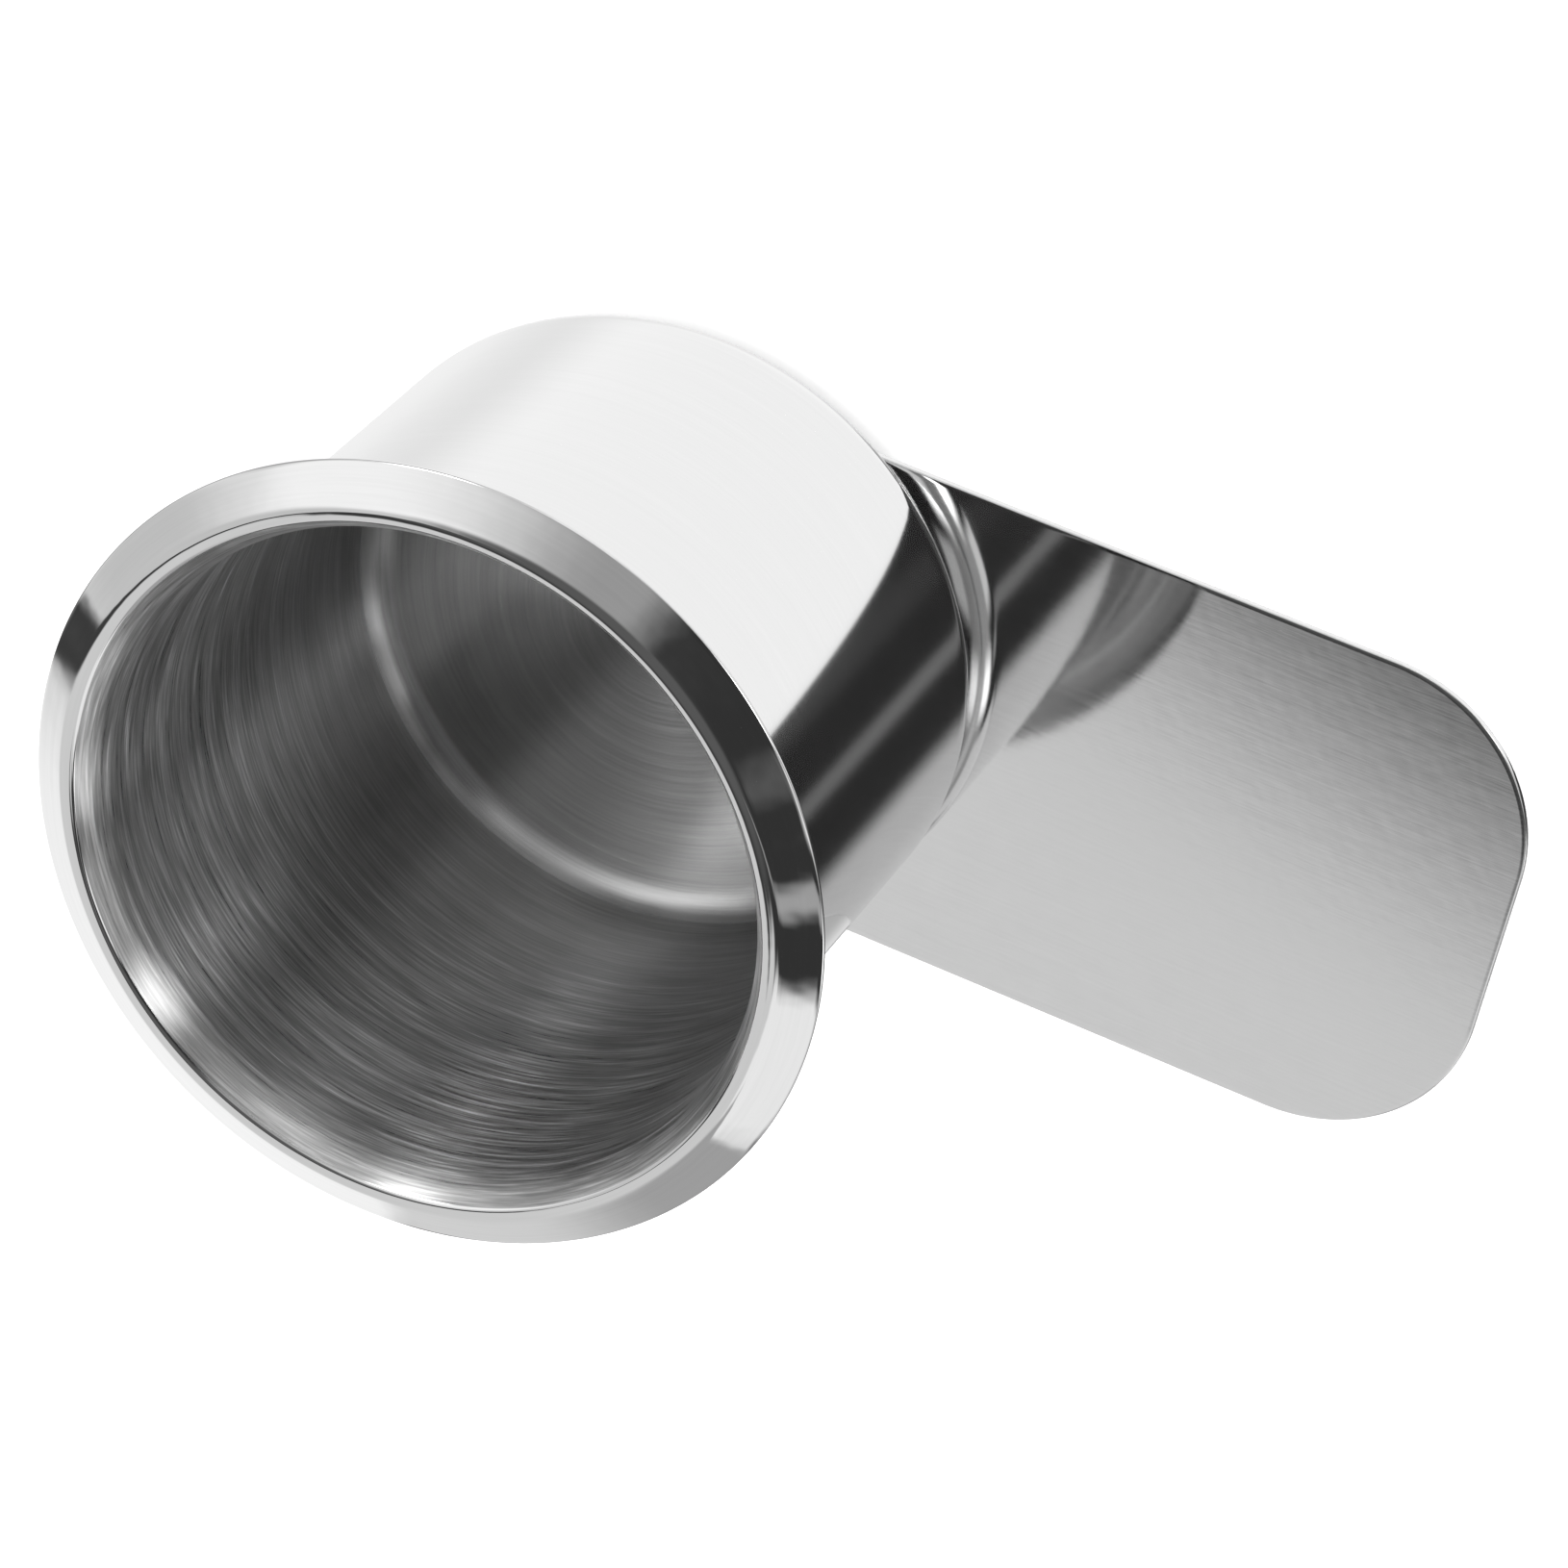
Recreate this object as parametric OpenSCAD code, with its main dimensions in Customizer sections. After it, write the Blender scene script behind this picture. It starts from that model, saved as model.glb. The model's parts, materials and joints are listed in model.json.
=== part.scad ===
// Slide-under cup holder: a drawn sheet-steel cup, spot-welded to a flat tongue.
// The origin is on the cup's axis, at the underside of the tongue.
// +Z points out of the cup's mouth, and +X points along the tongue.

/* [Cup] */
// Inside diameter of the well
bore_d = 73.4; // [68:0.1:76]
// Height of the cup, from its underside to the crest of its rim
cup_h = 63.5; // [45:0.1:90]
// Thickness of the cup's sheet
cup_sheet = 0.6; // [0.5:0.05:0.75]
// Outside radius of the corner between floor and wall
corner_r = 5; // [3:0.1:8]

/* [Rim] */
// Inside radius of the flare that leads the wall outward to the crest
flare_r = 8; // [6:0.1:10]
// Distance of the crest outside the wall's inner face
crest_out = 2.7; // [2.2:0.1:3.2]
// Radius of the tight fold on the inner side of the crest
fold_r = 0.8; // [0.8:0.05:1.2]
// Radius of the gentler bend from the crest down to the flange
bend_r = 2.5; // [1.5:0.1:3]

/* [Flange] */
// Outside diameter of the flange
flange_d = 89; // [88:0.1:110]
// Angle that the flange droops below level
droop = 32; // [20:1:40]

/* [Tongue] */
// Width of the tongue
tongue_w = 58; // [44:0.5:60]
// Reach of the tongue, from the cup's axis to its free end
tongue_reach = 98.6; // [80:0.1:130]
// Length of the tongue behind the cup's axis
tongue_back = 27; // [22:0.5:27]
// Radius of the tongue's corners
tongue_corner_r = 19.4; // [18:0.1:21.5]
// Thickness of the tongue's sheet
tongue_sheet = 0.8; // [0.8:0.1:1.5]

/* [Spot welds] */
// Diameter of a weld nugget
weld_d = 5; // [3:0.5:6]
// Distance between weld centres, along and across the tongue
weld_pitch = 26; // [16:1:30]
// How far a nugget reaches into each sheet
weld_depth = 0.35; // [0.2:0.05:0.35]
// Diameter of the electrode's mark under each weld
mark_d = 6; // [4:0.5:7]
// Depth of the electrode's mark
mark_depth = 0.1; // [0.05:0.05:0.15]

/* [Hidden] */
$fn = 180;

bore_r = bore_d / 2;
flange_r = flange_d / 2;
cup_r = bore_r + cup_sheet;
floor_r = cup_r - corner_r;

// The fold and the bend both have their centres below the crest
crest_x = bore_r + crest_out;
fold_y = cup_h - fold_r;
bend_y = cup_h - bend_r;

// The flare's circle holds the fold's circle inside it, and the two share a tangent at this angle
flare_x = bore_r + flare_r;
flare_angle = acos((flare_r - crest_out) / (flare_r - fold_r));
exact_flare_y = fold_y - (flare_r - fold_r) * sin(flare_angle);

// Rounded down, so that the two circles always just cross and leave no gap between them
flare_y = floor(exact_flare_y * 10000) / 10000;

// Length of the straight slope, from the end of the bend to the centre of the rounded lip
lip_r = cup_sheet / 2;
bend_inner_r = bend_r - cup_sheet;
bend_mid_r = bend_r - cup_sheet / 2;
flange_len = (flange_r - lip_r - crest_x - bend_mid_r * sin(droop)) / cos(droop);

// Ring one sheet thick
module ring_2d(outer_r) {
    difference() {
        circle(outer_r);
        circle(outer_r - cup_sheet);
    }
}

// Quarter ring from the flat floor up to the wall
module corner_2d() {
    translate([floor_r, corner_r])
        intersection() {
            ring_2d(corner_r);
            translate([0, -corner_r])
                square([corner_r, corner_r]);
        }
}

// Everything under the flare and the fold, drawn in by an inset
module under_rim_2d(inset) {
    reach = 2 * flare_r;
    translate([flare_x, flare_y])
        intersection() {
            circle(flare_r - inset);
            polygon([
                [0, 0],
                [0, -reach],
                [-reach, -reach],
                [-reach, reach * tan(flare_angle)]
            ]);
        }
    translate([crest_x, fold_y])
        circle(fold_r - inset);
}

// Sheet of the flare and the fold, from the top of the wall to the crest
module turn_2d() {
    intersection() {
        difference() {
            under_rim_2d(0);
            under_rim_2d(cup_sheet);
        }
        translate([0, flare_y])
            square([crest_x, cup_h]);
    }
}

// Sheet of the bend and the flange, which slopes down and outward from the crest to a rounded lip
module slope_2d() {
    reach = 2 * bend_r;
    intersection() {
        translate([crest_x, bend_y])
            rotate(-droop) {
                intersection() {
                    ring_2d(bend_r);
                    translate([-reach, 0])
                        square([reach, reach]);
                }
                translate([0, bend_inner_r])
                    square([flange_len, cup_sheet]);
                translate([flange_len, bend_mid_r])
                    circle(lip_r, $fn = 48);
            }
        translate([crest_x, 0])
            square([flange_r, 2 * cup_h]);
    }
}

// Half cross-section of the cup, with the underside of its floor at y = 0
module cup_section() {
    square([floor_r, cup_sheet]);
    corner_2d();
    translate([bore_r, corner_r])
        square([cup_sheet, flare_y - corner_r]);
    turn_2d();
    slope_2d();
}

// Flat outline of the tongue, with four equal round corners
module tongue_outline() {
    x_low = tongue_corner_r - tongue_back;
    x_high = tongue_reach - tongue_corner_r;
    y_side = tongue_w / 2 - tongue_corner_r;
    translate([-tongue_back, -y_side])
        square([tongue_back + tongue_reach, 2 * y_side]);
    translate([x_low, -tongue_w / 2])
        square([x_high - x_low, tongue_w]);
    for (x = [x_low, x_high], y = [-y_side, y_side])
        translate([x, y])
            circle(tongue_corner_r);
}

// Places its children on the square of weld centres
module at_welds() {
    for (x = [-weld_pitch / 2, weld_pitch / 2], y = [-weld_pitch / 2, weld_pitch / 2])
        translate([x, y, 0])
            children();
}

// One nugget of fused metal, half in the tongue and half in the cup's floor
module nugget() {
    translate([0, 0, tongue_sheet - weld_depth])
        cylinder(d = weld_d, h = 2 * weld_depth, $fn = 48);
}

// Shallow round dent that the welding electrode leaves in the underside
module electrode_mark() {
    translate([0, 0, -mark_depth])
        cylinder(d = mark_d, h = 2 * mark_depth, $fn = 48);
}

// One-piece drawn cup: flat floor, round corner, straight wall, flared rim and drooping flange
module cup() {
    color([0.80, 0.80, 0.81])
        difference() {
            translate([0, 0, tongue_sheet])
                rotate_extrude()
                    cup_section();
            at_welds()
                nugget();
        }
}

// Flat tongue under the cup, which slides under a table top or a cushion
module tongue_plate() {
    color([0.72, 0.72, 0.73])
        difference() {
            linear_extrude(tongue_sheet)
                tongue_outline();
            at_welds() {
                nugget();
                electrode_mark();
            }
        }
}

// Resistance welds that hold the cup's floor to the tongue
module spot_welds() {
    color([0.60, 0.60, 0.62])
        at_welds()
            nugget();
}

cup();
tongue_plate();
spot_welds();
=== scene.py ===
"""A slide-under cup holder: a drawn steel cup with a polished flange, spot-welded to a flat brushed tongue.

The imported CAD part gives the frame. The cup and the tongue are rebuilt as smooth meshes of the same shape,
the welds keep their CAD mesh, and every surface gets a procedural metal. Lengths are in metres. The axis of
the cup is the frame's Z axis, and the tongue points along +X.
"""

import json
from math import acos, cos, hypot, pi, radians, sin

import bmesh
import bpy
from mathutils import Matrix, Vector
from mathutils.geometry import tessellate_polygon


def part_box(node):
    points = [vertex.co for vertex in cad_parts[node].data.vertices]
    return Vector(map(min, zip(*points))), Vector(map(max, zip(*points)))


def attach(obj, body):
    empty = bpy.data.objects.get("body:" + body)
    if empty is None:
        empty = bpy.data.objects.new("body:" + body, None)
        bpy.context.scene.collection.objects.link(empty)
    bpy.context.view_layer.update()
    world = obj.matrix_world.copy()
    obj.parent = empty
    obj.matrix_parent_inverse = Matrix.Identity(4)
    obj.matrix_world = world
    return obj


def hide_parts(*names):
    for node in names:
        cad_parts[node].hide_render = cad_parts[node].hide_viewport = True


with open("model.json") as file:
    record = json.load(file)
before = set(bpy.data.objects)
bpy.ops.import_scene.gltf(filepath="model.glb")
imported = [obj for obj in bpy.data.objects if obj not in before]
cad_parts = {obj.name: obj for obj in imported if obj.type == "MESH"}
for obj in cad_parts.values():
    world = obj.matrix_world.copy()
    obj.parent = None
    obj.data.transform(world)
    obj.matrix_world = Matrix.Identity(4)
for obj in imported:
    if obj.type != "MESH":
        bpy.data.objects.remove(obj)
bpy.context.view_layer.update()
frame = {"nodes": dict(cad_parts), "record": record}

MM = 0.001

# ---------------------------------------------------------------------------------------------------------
# Sizes. The boxes of the CAD nodes and the record's mounts give the outline; the rest repeat CAD values.
# ---------------------------------------------------------------------------------------------------------

_, cup_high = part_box("cup")
tongue_low, tongue_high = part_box("tongue_plate")
weld_low, weld_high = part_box("spot_welds")
mounts = {mount["name"]: mount for mount in frame["record"]["mounts"]}

BORE_R = mounts["cup_well"]["dims"]["r_mm"] * MM
FLANGE_R = cup_high.x
CREST_Z = cup_high.z
CUP_SHEET = 0.6 * MM
CUP_R = BORE_R + CUP_SHEET
CORNER_R = 5 * MM
FLARE_R = 8 * MM
FOLD_R = 0.8 * MM
BEND_R = 2.5 * MM
CREST_R = BORE_R + 2.7 * MM
DROOP = radians(32)
UNDERSIDE_Z = tongue_high.z

TONGUE_CORNER_R = 19.4 * MM
# The CAD has square edges here; this rounding stays inside them
TONGUE_EDGE_R = 0.18 * MM
# Width of the strip of faces that keeps the shading of a flat face flat up to its rounded edge
FLAT_RIM = 0.4 * MM

WELD_R = 2.5 * MM
WELD_PITCH = weld_high.x - weld_low.x - 2 * WELD_R
WELD_PLACES = [(x * WELD_PITCH / 2, y * WELD_PITCH / 2) for x in (-1, 1) for y in (-1, 1)]
MARK_R = 3 * MM
MARK_DEPTH = 0.1 * MM

# ---------------------------------------------------------------------------------------------------------
# Mesh building
# ---------------------------------------------------------------------------------------------------------

AROUND = 384
HOLE_AROUND = 48
TONGUE_CORNER_STEPS = 40
TONGUE_EDGE_STEPS = 4
FLOOR_CENTRE_R = 0.9 * MM
SAME_PLACE = 1e-7
SHARP_EDGE = radians(35)


def arc(centre, radius, start, end, steps):
    """Points of an arc in the cup's half section, both ends included, as (r, z). Angles are in radians."""
    turns = [start + (end - start) * i / steps for i in range(steps + 1)]
    return [(centre[0] + radius * cos(a), centre[1] + radius * sin(a)) for a in turns]


def line(start, end, steps):
    """Points between two places in the half section, both ends included."""
    shares = [i / steps for i in range(steps + 1)]
    return [(start[0] + (end[0] - start[0]) * s, start[1] + (end[1] - start[1]) * s) for s in shares]


def join_path(*pieces):
    """One path from several pieces, without repeating the points where they meet."""
    path = []
    for piece in pieces:
        for point in piece:
            if not path or hypot(point[0] - path[-1][0], point[1] - path[-1][1]) > SAME_PLACE:
                path.append(point)
    return path


def cup_path():
    """The cup's section from the floor's centre, up the inside, over the rim and back down the outside.

    Returns the path and, for each point, the name of the surface that ends there.
    """
    flare_centre_r = BORE_R + FLARE_R
    fold_z = CREST_Z - FOLD_R
    bend_z = CREST_Z - BEND_R
    flare_angle = acos((flare_centre_r - CREST_R) / (FLARE_R - FOLD_R))
    flare_z = fold_z - (FLARE_R - FOLD_R) * sin(flare_angle)
    corner_z = UNDERSIDE_Z + CORNER_R
    floor_r = CUP_R - CORNER_R
    lip_r = CUP_SHEET / 2
    run = (FLANGE_R - lip_r - CREST_R - (BEND_R - lip_r) * sin(DROOP)) / cos(DROOP)
    slope = (cos(DROOP), -sin(DROOP))

    def down_slope(radius, distance):
        """A place on the flange, at a radius from the bend's centre and a distance down the slope."""
        return (
            CREST_R + radius * sin(DROOP) + distance * slope[0],
            bend_z + radius * cos(DROOP) + distance * slope[1],
        )

    lip_centre = down_slope(BEND_R - lip_r, run)
    sheet = CUP_SHEET
    # The floor's material, whose lighter shade is painted light on the floor and a painted highlight on the
    # round corner, goes two thirds of the way up the round corner
    painted_light_floor_end = -pi / 6
    corner = (floor_r, corner_z)
    inside = [
        ("floor", line((FLOOR_CENTRE_R, UNDERSIDE_Z + sheet), (floor_r, UNDERSIDE_Z + sheet), 24)),
        ("floor", arc(corner, CORNER_R - sheet, -pi / 2, painted_light_floor_end, 11)),
        ("inside", arc(corner, CORNER_R - sheet, painted_light_floor_end, 0, 5)),
        ("inside", line((BORE_R, corner_z), (BORE_R, flare_z), 40)),
        ("inside", arc((flare_centre_r, flare_z), FLARE_R, pi, pi - flare_angle, 16)),
        ("rim", arc((CREST_R, fold_z), FOLD_R, pi - flare_angle, pi / 2, 12)),
        ("rim", arc((CREST_R, bend_z), BEND_R, pi / 2, pi / 2 - DROOP, 10)),
        ("rim", line(down_slope(BEND_R, 0), down_slope(BEND_R, run), 12)),
        ("rim", arc(lip_centre, lip_r, pi / 2 - DROOP, -pi / 2 - DROOP, 14)),
    ]
    outside = [
        ("outside", line(down_slope(BEND_R - sheet, run), down_slope(BEND_R - sheet, 0), 8)),
        ("outside", arc((CREST_R, bend_z), BEND_R - sheet, pi / 2 - DROOP, pi / 2, 8)),
        ("outside", arc((CREST_R, fold_z), FOLD_R - sheet, pi / 2, pi - flare_angle, 4)),
        ("outside", arc((flare_centre_r, flare_z), FLARE_R - sheet, pi - flare_angle, pi, 12)),
        ("outside", line((CUP_R, flare_z), (CUP_R, corner_z), 40)),
        ("outside", arc(corner, CORNER_R, 0, -pi / 2, 20)),
        ("outside", line((floor_r, UNDERSIDE_Z), (floor_r - FLAT_RIM, UNDERSIDE_Z), 1)),
    ]
    surfaces = []
    path = []
    for name, piece in inside + outside:
        grown = join_path(path, piece)
        surfaces += [name] * (len(grown) - len(path))
        path = grown
    return path, surfaces


def flat_region(mesh, outline, holes):
    """Fills a flat region between an outline and its holes, all loops of existing vertices."""
    loops = [[vertex.co for vertex in loop] for loop in [outline] + holes]
    vertices = [vertex for loop in [outline] + holes for vertex in loop]
    for triangle in tessellate_polygon(loops):
        mesh.faces.new([vertices[i] for i in triangle])


def ring(mesh, centre, radius, z, count):
    """A loop of vertices round a centre."""
    turns = [2 * pi * i / count for i in range(count)]
    return [mesh.verts.new((centre[0] + radius * cos(a), centre[1] + radius * sin(a), z)) for a in turns]


def bridge(mesh, lower, upper):
    """Quads between two loops of the same length."""
    faces = []
    for i, vertex in enumerate(lower):
        j = (i + 1) % len(lower)
        faces.append(mesh.faces.new((vertex, lower[j], upper[j], upper[i])))
    return faces


def pocket(mesh, centre, radius, open_z, end_z):
    """The wall and the end of a shallow round pocket. Returns the loop at its mouth."""
    mouth = ring(mesh, centre, radius, open_z, HOLE_AROUND)
    end = ring(mesh, centre, radius, end_z, HOLE_AROUND)
    bridge(mesh, mouth, end)
    mesh.faces.new(end)
    return mouth


def finish_mesh(name, mesh, materials):
    """Turns a bmesh into an object with outward normals, smooth where its faces meet at a shallow angle."""
    bmesh.ops.recalc_face_normals(mesh, faces=mesh.faces)
    for face in mesh.faces:
        face.smooth = True
    for edge in mesh.edges:
        if len(edge.link_faces) == 2 and edge.calc_face_angle(0) > SHARP_EDGE:
            edge.smooth = False
    data = bpy.data.meshes.new(name)
    mesh.to_mesh(data)
    mesh.free()
    thing = bpy.data.objects.new(name, data)
    bpy.context.scene.collection.objects.link(thing)
    for material in materials:
        data.materials.append(material)
    return thing


def build_cup(materials):
    """The drawn cup, turned about Z, with its weld pockets on the underside.

    materials is a material for each name of a surface. Each vertex of the turned surface keeps its distance
    along the section as the attribute "along", which the streaks of the metal follow.
    """
    path, surfaces = cup_path()
    names = list(materials)
    mesh = bmesh.new()
    along = mesh.verts.layers.float.new("along")
    loops = []
    distance = 0
    for i, (r, z) in enumerate(path):
        if i:
            distance += hypot(r - path[i - 1][0], z - path[i - 1][1])
        loop = ring(mesh, (0, 0), r, z, AROUND)
        for vertex in loop:
            vertex[along] = distance
        loops.append(loop)
    centre = mesh.verts.new((0, 0, path[0][1]))
    for i in range(AROUND):
        face = mesh.faces.new((centre, loops[0][i], loops[0][(i + 1) % AROUND]))
        face.material_index = names.index("floor")
    for lower, upper, surface in zip(loops, loops[1:], surfaces[1:]):
        for face in bridge(mesh, lower, upper):
            face.material_index = names.index(surface)
    mouths = [pocket(mesh, place, WELD_R, UNDERSIDE_Z, weld_high.z) for place in WELD_PLACES]
    flat_region(mesh, loops[-1], mouths)
    for face in mesh.faces:
        middle = face.calc_center_median()
        if middle.z < UNDERSIDE_Z + 0.5 * CUP_SHEET and middle.xy.length < CUP_R - CORNER_R:
            face.material_index = names.index("outside")
    return finish_mesh("cup_shell", mesh, list(materials.values()))


def tongue_outline(inset):
    """The tongue's outline as places in the plane, drawn in by an inset, with round corners."""
    low_x, high_x = tongue_low.x + TONGUE_CORNER_R, tongue_high.x - TONGUE_CORNER_R
    side_y = tongue_high.y - TONGUE_CORNER_R
    corners = [(high_x, side_y, 0), (low_x, side_y, 1), (low_x, -side_y, 2), (high_x, -side_y, 3)]
    steps = TONGUE_CORNER_STEPS
    radius = TONGUE_CORNER_R - inset
    places = []
    for x, y, quarter in corners:
        for i in range(steps + 1):
            turn = (quarter + i / steps) * pi / 2
            places.append((x + radius * cos(turn), y + radius * sin(turn)))
    return places


def build_tongue(material):
    """The flat tongue, with slightly rounded edges, weld pockets on top and electrode marks underneath."""
    mesh = bmesh.new()
    low, high = tongue_low.z, tongue_high.z
    rows = [(TONGUE_EDGE_R + FLAT_RIM, low)]
    for i in range(TONGUE_EDGE_STEPS + 1):
        turn = i / TONGUE_EDGE_STEPS * pi / 2
        rows.append((TONGUE_EDGE_R * (1 - sin(turn)), low + TONGUE_EDGE_R * (1 - cos(turn))))
    rows += [(inset, high - (z - low)) for inset, z in reversed(rows)]
    loops = [[mesh.verts.new((x, y, z)) for x, y in tongue_outline(inset)] for inset, z in rows]
    for lower, upper in zip(loops, loops[1:]):
        bridge(mesh, lower, upper)
    pockets = [pocket(mesh, place, WELD_R, high, weld_low.z) for place in WELD_PLACES]
    flat_region(mesh, loops[-1], pockets)
    marks = [pocket(mesh, place, MARK_R, low, low + MARK_DEPTH) for place in WELD_PLACES]
    flat_region(mesh, loops[0], marks)
    return finish_mesh("tongue_sheet", mesh, [material])


# ---------------------------------------------------------------------------------------------------------
# Materials
# ---------------------------------------------------------------------------------------------------------


class Nodes:
    """Short calls that add nodes to a tree and link them."""

    def __init__(self, tree):
        self.tree = tree
        tree.nodes.clear()

    def add(self, kind, **settings):
        node = self.tree.nodes.new(kind)
        for name, value in settings.items():
            setattr(node, name, value)
        return node

    def link(self, source, target):
        self.tree.links.new(source, target)

    def feed(self, socket, value):
        """Links a socket to an output, or sets its plain value."""
        if isinstance(value, bpy.types.NodeSocket):
            self.link(value, socket)
        else:
            socket.default_value = value

    def math(self, operation, *values):
        node = self.add("ShaderNodeMath", operation=operation)
        for socket, value in zip(node.inputs, values):
            self.feed(socket, value)
        return node.outputs[0]

    def vector(self, operation, *values):
        node = self.add("ShaderNodeVectorMath", operation=operation)
        for socket, value in zip(node.inputs, values):
            self.feed(socket, value)
        return node.outputs["Vector"]

    def combine(self, x, y, z):
        node = self.add("ShaderNodeCombineXYZ")
        for socket, value in zip(node.inputs, (x, y, z)):
            self.feed(socket, value)
        return node.outputs[0]

    def separate(self, vector):
        node = self.add("ShaderNodeSeparateXYZ")
        self.link(vector, node.inputs[0])
        return node.outputs

    def spread(self, value, from_low, from_high, to_low, to_high, smooth=False):
        """Maps a value from one range to another, clamped."""
        node = self.add("ShaderNodeMapRange", interpolation_type="SMOOTHSTEP" if smooth else "LINEAR")
        for socket, entry in zip(node.inputs, (value, from_low, from_high, to_low, to_high)):
            self.feed(socket, entry)
        return node.outputs[0]

    def noise(self, vector, scale, detail, roughness):
        node = self.add("ShaderNodeTexNoise", noise_dimensions="3D")
        self.feed(node.inputs["Vector"], vector)
        self.feed(node.inputs["Scale"], scale)
        self.feed(node.inputs["Detail"], detail)
        self.feed(node.inputs["Roughness"], roughness)
        return node.outputs["Fac"]

    def grey(self, value):
        return self.combine(value, value, value)


# Scale of the coarse streaks as a share of the fine ones', and what is left of streaks where they are calm
COARSE_STREAKS = 0.3
CALM_STREAKS = 0.3
# Range of a mix of noises that is spread over the whole range of a grain
STREAK_RANGE = (0.28, 0.72)
CLOUD_RANGE = (0.25, 0.75)
CLOUD_SCALE = 260.0
GRAIN_ROUGHNESS = 0.6


def metal(name, shade, roughness, grain, depth, anisotropy=0.0, tangent=None, waves=None):
    """A metal whose shade, roughness and height all follow a grain.

    shade and roughness are (low, high) ranges over the grain, which runs from 0 to 1, and depth is the
    height of the grain. grain and tangent are functions that add their nodes and return a socket. waves is
    the (scale, height) of a slow waviness of the sheet.
    """
    material = bpy.data.materials.new(name)
    material.use_nodes = True
    nodes = Nodes(material.node_tree)
    surface = nodes.add("ShaderNodeBsdfPrincipled")
    output = nodes.add("ShaderNodeOutputMaterial")
    nodes.link(surface.outputs[0], output.inputs["Surface"])
    surface.inputs["Metallic"].default_value = 1.0
    texture = grain(nodes)
    nodes.link(nodes.grey(nodes.spread(texture, 0, 1, *shade)), surface.inputs["Base Color"])
    nodes.link(nodes.spread(texture, 0, 1, *roughness), surface.inputs["Roughness"])
    surface.inputs["Anisotropic"].default_value = anisotropy
    if tangent:
        nodes.link(tangent(nodes), surface.inputs["Tangent"])
    bump = nodes.add("ShaderNodeBump")
    bump.inputs["Distance"].default_value = depth
    bump.inputs["Strength"].default_value = 1.0
    nodes.link(texture, bump.inputs["Height"])
    nodes.link(bump.outputs[0], surface.inputs["Normal"])
    if waves:
        wave_scale, wave_height = waves
        slow = nodes.noise(object_place(nodes), wave_scale, detail=1.0, roughness=0.5)
        swell = nodes.add("ShaderNodeBump")
        swell.inputs["Distance"].default_value = wave_height
        swell.inputs["Strength"].default_value = 1.0
        nodes.link(slow, swell.inputs["Height"])
        nodes.link(swell.outputs[0], bump.inputs["Normal"])
    return material


def object_place(nodes):
    """Where the shaded point is, in the frame's metres."""
    return nodes.add("ShaderNodeTexCoord").outputs["Object"]


def turned_grain(along_scale, around_scale, fine=0.6, calm_below=None, rarity=1.0):
    """Streaks that run round the cup's axis, in a fine layer and a coarse one.

    fine is the share of the fine layer. Where calm_below is a (low, high) pair of heights, the streaks fade
    from the high one down to the low one. A rarity above 1 leaves few streaks near the top of the range.
    """

    def grain(nodes):
        place = nodes.separate(object_place(nodes))
        along = nodes.add("ShaderNodeAttribute", attribute_name="along").outputs["Fac"]
        layers = []
        for share, stretch, detail in ((fine, 1.0, 3.0), (1 - fine, COARSE_STREAKS, 2.0)):
            spot = nodes.combine(
                nodes.math("MULTIPLY", place[0], around_scale * stretch),
                nodes.math("MULTIPLY", place[1], around_scale * stretch),
                nodes.math("MULTIPLY", along, along_scale * stretch),
            )
            layer = nodes.noise(spot, 1.0, detail, GRAIN_ROUGHNESS)
            layers.append(nodes.math("MULTIPLY", layer, share))
        streaks = nodes.spread(nodes.math("ADD", *layers), *STREAK_RANGE, 0, 1)
        if calm_below:
            strength = nodes.spread(place[2], *calm_below, CALM_STREAKS, 1.0)
            swing = nodes.math("MULTIPLY", nodes.math("SUBTRACT", streaks, 0.5), strength)
            streaks = nodes.math("ADD", swing, 0.5)
        return nodes.math("POWER", streaks, rarity)

    return grain


def long_grain(across_scale, length_scale, mottle):
    """Fine lines along the tongue, with a cloudiness. mottle is the share of the clouds."""

    def grain(nodes):
        place = nodes.separate(object_place(nodes))
        lines = nodes.combine(
            nodes.math("MULTIPLY", place[0], length_scale),
            nodes.math("MULTIPLY", place[1], across_scale),
            nodes.math("MULTIPLY", place[2], length_scale),
        )
        streaks = nodes.noise(lines, 1.0, detail=4.0, roughness=GRAIN_ROUGHNESS)
        clouds = nodes.noise(object_place(nodes), CLOUD_SCALE, detail=3.0, roughness=0.55)
        mixed = nodes.math(
            "ADD",
            nodes.math("MULTIPLY", streaks, 1 - mottle),
            nodes.math("MULTIPLY", clouds, mottle),
        )
        return nodes.spread(mixed, *CLOUD_RANGE, 0, 1)

    return grain


def up_the_section(nodes):
    """Direction across grooves that run round the cup: up the wall, or outward on the floor."""
    place = nodes.separate(object_place(nodes))
    around = nodes.combine(nodes.math("MULTIPLY", place[1], -1.0), place[0], 0.0)
    normal = nodes.add("ShaderNodeNewGeometry").outputs["Normal"]
    return nodes.vector("NORMALIZE", nodes.vector("CROSS_PRODUCT", normal, around))


def across_the_tongue(nodes):
    """Direction across the lines of the tongue."""
    return nodes.combine(0.0, 1.0, 0.0)


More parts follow.
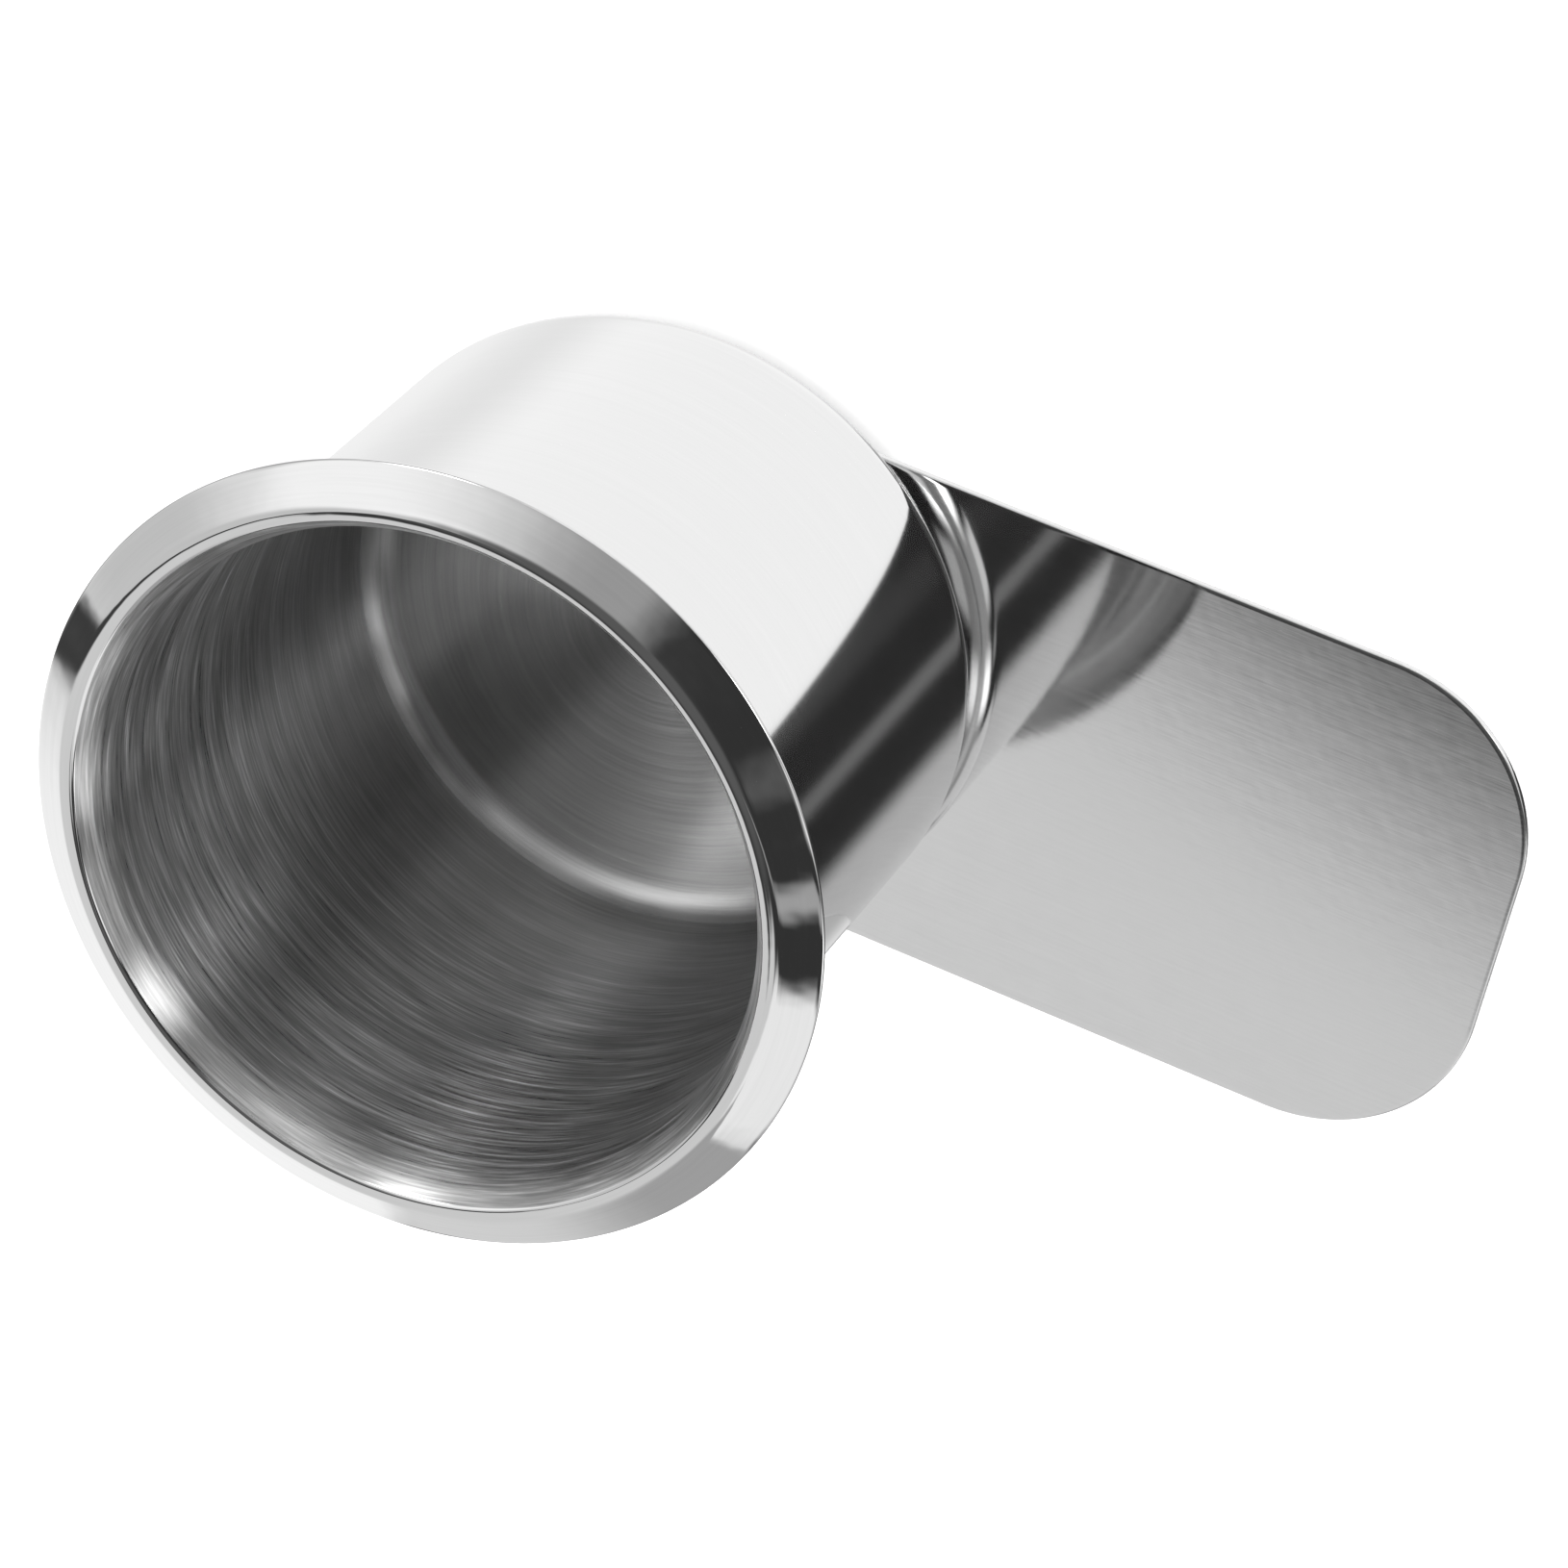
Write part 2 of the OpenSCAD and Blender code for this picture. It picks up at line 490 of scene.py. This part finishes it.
def make_materials():
    """Every finish on the object, by name."""
    return {
        "mirror_rim": metal(
            "mirror_rim",
            shade=(0.58, 0.62),
            roughness=(0.02, 0.05),
            grain=turned_grain(2500.0, 60.0),
            depth=0.15e-6,
            waves=(300.0, 20e-6),
        ),
        "satin_outside": metal(
            "satin_outside",
            shade=(0.585, 0.605),
            roughness=(0.08, 0.095),
            grain=turned_grain(3000.0, 60.0, fine=0.7),
            depth=0.1e-6,
            anisotropy=0.5,
            tangent=up_the_section,
        ),
        "brushed_inside": metal(
            "brushed_inside",
            shade=(0.28, 1.0),
            roughness=(0.27, 0.38),
            grain=turned_grain(3600.0, 130.0, fine=0.6, calm_below=(0.012, 0.036), rarity=2.0),
            depth=2e-6,
            anisotropy=1.0,
            tangent=up_the_section,
        ),
        # Lighter shade than the inside wall: painted light on the floor and on the lower round corner, over
        # the real brushing and a smoother finish
        "brushed_floor_painted_light": metal(
            "brushed_floor_painted_light",
            shade=(0.54, 0.80),
            roughness=(0.21, 0.28),
            grain=turned_grain(3200.0, 70.0),
            depth=2e-6,
            anisotropy=1.0,
            tangent=up_the_section,
        ),
        "brushed_tongue": metal(
            "brushed_tongue",
            shade=(0.57, 0.63),
            roughness=(0.05, 0.09),
            grain=long_grain(2600.0, 90.0, 0.4),
            depth=0.8e-6,
            anisotropy=0.6,
            tangent=across_the_tongue,
            waves=(450.0, 2.5e-6),
        ),
        "fused_steel": metal(
            "fused_steel",
            shade=(0.35, 0.6),
            roughness=(0.45, 0.6),
            grain=long_grain(900.0, 900.0, 0.6),
            depth=20e-6,
        ),
    }


# ---------------------------------------------------------------------------------------------------------
# Stage: floor, light and camera
# ---------------------------------------------------------------------------------------------------------


def direction(azimuth, elevation):
    """Unit vector from degrees, azimuth from +X towards +Y."""
    a, e = radians(azimuth), radians(elevation)
    return Vector((cos(a) * cos(e), sin(a) * cos(e), sin(e)))


FLOOR_HALF_SIZE = 3.0
FLOOR_SHADE = 0.9


def build_floor():
    """A large pale floor that the metal doesn't mirror, and that is clear when it is seen from below."""
    mesh = bmesh.new()
    low, high = -FLOOR_HALF_SIZE, FLOOR_HALF_SIZE
    places = [(low, low), (high, low), (high, high), (low, high)]
    mesh.faces.new([mesh.verts.new((x, y, tongue_low.z)) for x, y in places])
    data = bpy.data.meshes.new("studio_floor")
    mesh.to_mesh(data)
    mesh.free()
    floor = bpy.data.objects.new("studio_floor", data)
    bpy.context.scene.collection.objects.link(floor)
    floor.visible_glossy = False
    material = bpy.data.materials.new("pale_floor")
    material.use_nodes = True
    nodes = Nodes(material.node_tree)
    paint = nodes.add("ShaderNodeBsdfDiffuse")
    paint.inputs["Color"].default_value = (FLOOR_SHADE, FLOOR_SHADE, FLOOR_SHADE, 1)
    clear = nodes.add("ShaderNodeBsdfTransparent")
    back = nodes.add("ShaderNodeNewGeometry").outputs["Backfacing"]
    mix = nodes.add("ShaderNodeMixShader")
    nodes.link(back, mix.inputs[0])
    nodes.link(paint.outputs[0], mix.inputs[1])
    nodes.link(clear.outputs[0], mix.inputs[2])
    output = nodes.add("ShaderNodeOutputMaterial")
    nodes.link(mix.outputs[0], output.inputs["Surface"])
    data.materials.append(material)


FLOOR_LIGHT = 2.2

# Soft boxes, walls and dark flags of the studio, as seen from the object. Each one covers a span of azimuth
# and a span of elevation in degrees, and later ones lie over earlier ones. Each pair of softness is for the
# two ends of a span.
STUDIO_DARK = 0.05
STUDIO_CARDS = [
    # what it is, azimuth span, its softness, elevation span, its softness, brightness
    ("dim ceiling", (-180, 180), (0, 0), (66, 100), (8, 1), 0.15),
    ("white table", (8, 250), (4, 6), (-100, -16), (1, 8), 1.42),
    ("white table, far side", (160, 243), (16, 6), (-100, -30), (1, 8), 1.15),
    ("white table, far end", (222, 250), (24, 6), (-100, -40), (1, 8), 0.9),
    ("grey end of the table", (256, 317), (2, 16), (-100, -30), (1, 10), 0.8),
    ("grey end, dimmer", (272, 317), (10, 10), (-100, -30), (1, 10), 0.55),
    ("grey wall", (208, 297), (3, 2), (-12, 58.0), (3, 1.8), 0.96),
    ("grey wall, dimmer end", (276, 297), (8, 2), (-12, 40), (3, 5), 0.55),
    ("lit top of the wall", (274, 309), (5, 7), (46, 62), (4, 3), 0.95),
    ("upper corner of the strip light", (285, 318), (3, 4), (41, 50), (3, 2.5), 1.3),
    ("lit foot of the grey wall", (208, 257), (2, 1.5), (-34, 2), (8, 7), 1.34),
    ("grey foot of the strip light", (300, 392), (4, 8), (0, 24), (6, 6), 0.65),
    ("low light behind the cup", (300, 346), (4, 8), (-14, 7), (6, 4), 1.0),
    ("lamp behind the cup", (332, 346), (5, 6), (9, 26), (4, 5), 3.2),
    ("strip light", (295.5, 323.5), (1, 3), (18, 46), (4, 5), 1.3),
    ("light seen past a flag", (338, 343.5), (2, 2), (36, 66), (4, 4), 0.27),
    ("its bright foot", (338, 344), (2, 2), (34, 48), (4, 3), 0.55),
    ("its bright top", (337, 343), (3, 2.5), (53, 68), (3, 4), 0.4),
    ("glow over the lamp", (364, 376), (4, 3), (46, 56), (3, 3), 0.16),
    ("hanging lamp", (356, 380), (5, 4), (24, 47), (5, 4), 1.4),
    ("right wall", (64, 200), (10, 1.5), (5, 70), (5, 8), 0.5),
    ("large soft box", (116, 200), (32, 1.5), (8, 65), (8, 8), 1.45),
    ("its dimmer foot", (106, 166), (10, 8), (10, 32), (5, 4), 0.7),
    ("its hot core", (119, 135), (5, 5), (31, 40), (3, 4), 13.0),
    ("soft box, dimmer end", (171, 200), (12, 1.5), (8, 65), (8, 8), 0.85),
    ("dark flag", (200, 207.5), (1.5, 1.5), (-4, 40), (4, 8), 0.07),
    ("dim horizon", (20, 202), (8, 4), (-12, 6), (4, 4), 0.45),
    ("low horizon", (24, 142), (8, 10), (9, 17), (3.5, 4), 2.6),
    ("low lamp", (30, 46), (7, 7), (9, 26), (4, 8), 8.0),
    ("low window", (76, 98), (6, 6), (9, 18), (3.5, 4), 4.5),
]


def span_share(nodes, value, low, high, soft_low, soft_high):
    """Share that is 1 between two angles and falls off over a softness at each end."""
    rise = nodes.spread(value, low - soft_low, low + soft_low, 0, 1, smooth=True)
    fall = nodes.spread(value, high - soft_high, high + soft_high, 1, 0, smooth=True)
    return nodes.math("MULTIPLY", rise, fall)


def build_world():
    """Sky of soft boxes for the metal, and an even white light for the floor."""
    world = bpy.data.worlds.new("studio")
    bpy.context.scene.world = world
    world.use_nodes = True
    # Only reflected rays may find the sky, because a light sample of it doesn't know the kind of its ray
    world.cycles.sampling_method = "NONE"
    nodes = Nodes(world.node_tree)
    ray = nodes.separate(nodes.add("ShaderNodeTexCoord").outputs["Generated"])
    azimuth = nodes.math("DEGREES", nodes.math("ARCTAN2", ray[1], ray[0]))
    elevation = nodes.math("DEGREES", nodes.math("ARCSINE", ray[2]))
    level = STUDIO_DARK
    for _, (west, east), (soft_west, soft_east), (low, high), (soft_low, soft_high), light in STUDIO_CARDS:
        # Counted from the middle of the card, so that a card may lie across the seam at 180 degrees
        middle = (west + east) / 2
        turned = nodes.math("WRAP", nodes.math("SUBTRACT", azimuth, middle), 180.0, -180.0)
        half = (east - west) / 2
        if half >= 180:
            across = 1.0
        else:
            across = span_share(nodes, turned, -half, half, soft_west, soft_east)
        share = nodes.math("MULTIPLY", across, span_share(nodes, elevation, low, high, soft_low, soft_high))
        change = nodes.math("MULTIPLY", share, nodes.math("SUBTRACT", light, level))
        level = nodes.math("ADD", level, change)
    path = nodes.add("ShaderNodeLightPath")
    mirrored = path.outputs["Is Glossy Ray"]
    change = nodes.math("MULTIPLY", mirrored, nodes.math("SUBTRACT", level, FLOOR_LIGHT))
    glow = nodes.math("ADD", change, FLOOR_LIGHT)
    background = nodes.add("ShaderNodeBackground")
    nodes.link(nodes.grey(glow), background.inputs["Color"])
    output = nodes.add("ShaderNodeOutputWorld")
    nodes.link(background.outputs[0], output.inputs["Surface"])


def build_camera():
    """The camera of the reference view: high, behind the free end, and strongly rolled."""
    aim = Vector((17.6, -14.2, 0.8)) * MM
    distance = 684.6 * MM
    azimuth, elevation, roll = 65.9, 54.3, radians(137.55)
    back = direction(azimuth, elevation)
    forward = -back
    level_up = (Vector((0, 0, 1)) - forward * forward.z).normalized()
    level_right = forward.cross(level_up)
    up = level_up * cos(roll) + level_right * sin(roll)
    right = forward.cross(up)
    data = bpy.data.cameras.new("camera")
    data.sensor_width = 36.0
    data.lens = 142.4
    data.clip_start = 0.01
    data.clip_end = 20.0
    camera = bpy.data.objects.new("camera", data)
    bpy.context.scene.collection.objects.link(camera)
    turn = Matrix((right, up, back)).transposed().to_4x4()
    camera.matrix_world = Matrix.Translation(aim + back * distance) @ turn
    bpy.context.scene.camera = camera


# ---------------------------------------------------------------------------------------------------------
# The object
# ---------------------------------------------------------------------------------------------------------

materials = make_materials()

cup_shell = build_cup(
    {
        "floor": materials["brushed_floor_painted_light"],
        "inside": materials["brushed_inside"],
        "rim": materials["mirror_rim"],
        "outside": materials["satin_outside"],
    }
)
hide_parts("cup")
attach(cup_shell, "root")

tongue_sheet = build_tongue(materials["brushed_tongue"])
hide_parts("tongue_plate")
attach(tongue_sheet, "root")

welds = frame["nodes"]["spot_welds"]
welds.data.materials.clear()
welds.data.materials.append(materials["fused_steel"])

build_floor()
build_world()
build_camera()

scene = bpy.context.scene
scene.view_settings.view_transform = "Standard"
scene.view_settings.look = "None"
